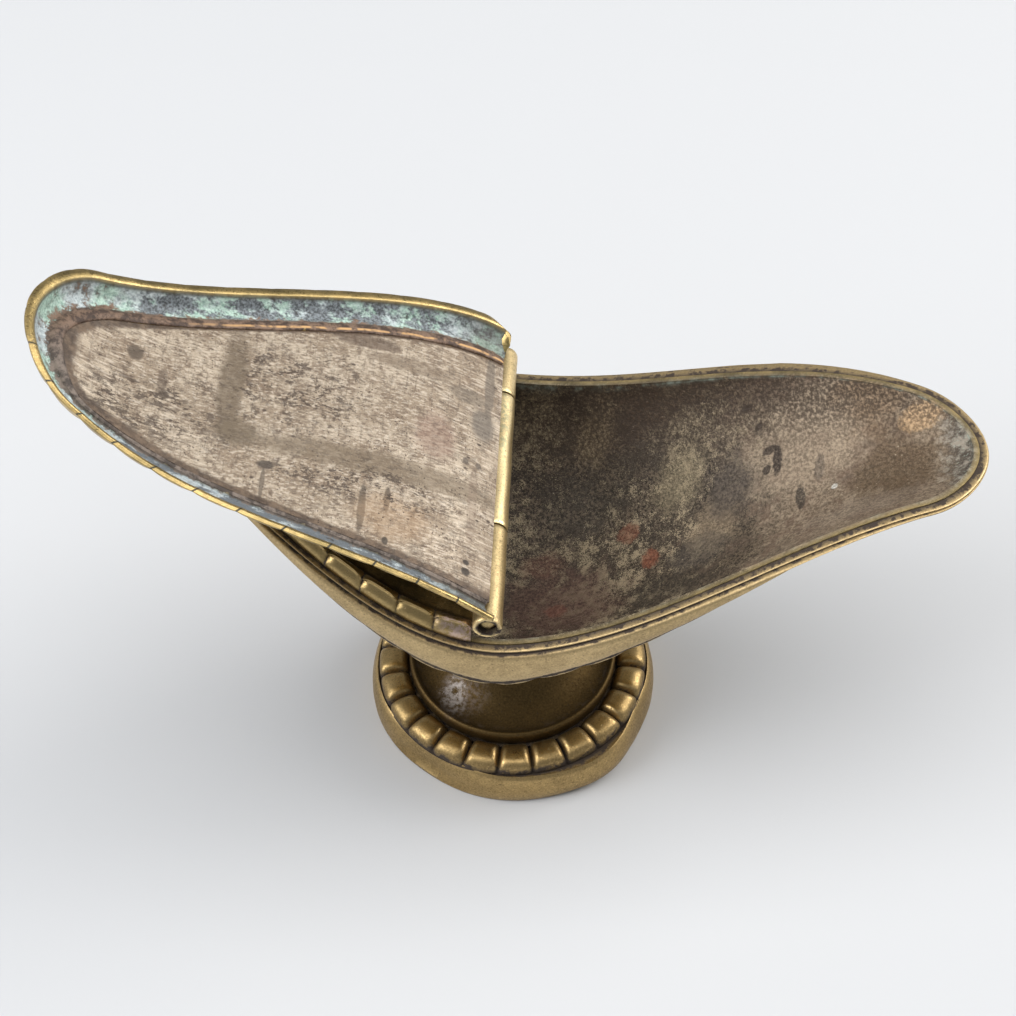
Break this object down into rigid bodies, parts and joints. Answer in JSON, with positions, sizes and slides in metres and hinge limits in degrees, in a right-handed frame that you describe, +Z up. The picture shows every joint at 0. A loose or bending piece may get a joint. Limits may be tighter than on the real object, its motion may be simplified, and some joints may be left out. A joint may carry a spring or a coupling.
{
  "type": "incense boat with hinged lid",
  "caption": "Boat-shaped brass bowl on a round beaded foot, half covered by a fixed deck and half by a hinged lid, stored open.",
  "frame": {"origin": "on the plane the foot stands on, halfway along the object's length and width with the lid open, 2 mm from the foot's axis", "axes": "+X along the boat towards the end the lid covers when shut, +Y along the hinge pin towards the back, +Z up"},
  "size_m": [0.1567, 0.0658, 0.1011],
  "materials": {
    "brass_outside": "satin, olive tarnish in the hollows",
    "brass_bright": "rubbed bright on the high parts",
    "bowl_patina": "dark grainy patina with worn tan patches",
    "tinned_plate": "worn pale tinning with brown pitting"
  },
  "bodies": {
    "boat": {"bowl": "bowl_patina", "rim_moulding": "brass_outside", "deck_border": "brass_outside", "deck_panel": "tinned_plate", "deck_knuckle": "brass_bright", "stem": "brass_outside", "foot": "brass_outside", "fixing_stud": "brass_outside", "washer": "brass_outside", "nut": "brass_outside"},
    "lid": {"lid_border": "brass_bright", "lid_panel": "tinned_plate", "lid_knuckle_front": "brass_outside", "lid_knuckle_rear": "brass_outside", "hinge_pin": "brass_bright"}
  },
  "joints": [
    {"name": "lid_hinge", "type": "hinge", "parent": "boat", "child": "lid", "pos_m": [-0.00399, 0, 0.05899], "axis": [0, 1, 0], "range_deg": [0, 142]}
  ]
}
